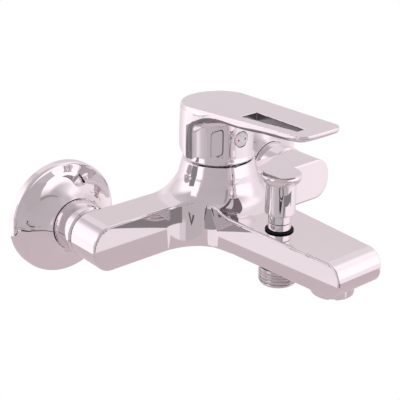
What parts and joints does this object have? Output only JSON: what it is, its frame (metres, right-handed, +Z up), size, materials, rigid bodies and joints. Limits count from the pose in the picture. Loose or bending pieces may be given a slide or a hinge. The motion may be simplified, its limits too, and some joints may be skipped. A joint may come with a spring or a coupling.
{
  "type": "wall mounted bath mixer",
  "caption": "Single-lever wall mounted bath and shower mixer with a flat slotted lever, pull-up diverter knob, threaded hose outlet and aerated spout, in polished chrome",
  "frame": {"origin": "on the wall's face, midway between the hot and cold inlets", "axes": "+X along the wall to the cold side's right, +Y into the wall, +Z up"},
  "size_m": [0.216, 0.1815, 0.1035],
  "materials": {
    "chrome": "polished chrome plating",
    "brass": "turned, uncoated",
    "steel": "drawn stainless steel",
    "ceramic": "lapped alumina",
    "plastic": "moulded acetal",
    "rubber": "matt moulded",
    "plug_white": "glossy moulded"
  },
  "bodies": {
    "mixer": {"body_casting": "chrome", "wall_flange_left": "chrome", "wall_flange_right": "chrome", "union_nut_left": "chrome", "union_nut_right": "chrome", "s_union_left": "brass", "s_union_right": "brass", "inlet_filter_washer_left": "rubber", "inlet_filter_washer_right": "rubber", "cartridge_base_seal": "rubber", "cartridge_base": "plastic", "fixed_ceramic_disc": "ceramic", "cartridge_housing": "plastic", "cartridge_nut": "brass", "trim_dome": "chrome", "shower_outlet_nipple": "chrome", "diverter_upper_seat": "brass", "diverter_bush": "chrome", "diverter_seal_ring": "rubber", "aerator_shell": "chrome", "aerator_insert": "plastic", "aerator_gasket": "rubber"},
    "swivel": {"cartridge_turret": "plastic", "pivot_pin": "steel"},
    "disc": {"moving_ceramic_disc": "ceramic", "disc_carrier": "plastic"},
    "lever": {"lever_handle": "chrome", "spindle": "brass", "lever_set_screw": "steel", "indicator_plug": "plug_white"},
    "diverter": {"diverter_knob": "chrome", "diverter_stem": "brass", "diverter_valve_disc": "brass", "diverter_valve_seal": "rubber", "diverter_spring": "steel"}
  },
  "joints": [
    {"name": "lever_turn", "type": "hinge", "parent": "mixer", "child": "swivel", "pos_m": [0, -0.0523, 0.03], "axis": [0, 0, 1], "range_deg": [-45, 45]},
    {"name": "lever_lift", "type": "hinge", "parent": "swivel", "child": "lever", "pos_m": [0, -0.0523, 0.03], "axis": [-1, 0, 0], "range_deg": [0, 22]},
    {"name": "disc_slide", "type": "slide", "parent": "swivel", "child": "disc", "axis": [0, -1, 0], "range_m": [0, 0.0044]},
    {"name": "diverter_pull", "type": "slide", "parent": "mixer", "child": "diverter", "axis": [0, 0, 1], "range_m": [0, 0.0064], "stiffness_N_per_m": 150, "springref_m": -0.004, "deforming": ["diverter_spring"]}
  ],
  "couplings": [
    {"joint": "disc_slide", "follows": "lever_lift", "m_per_rad": 0.01122}
  ]
}
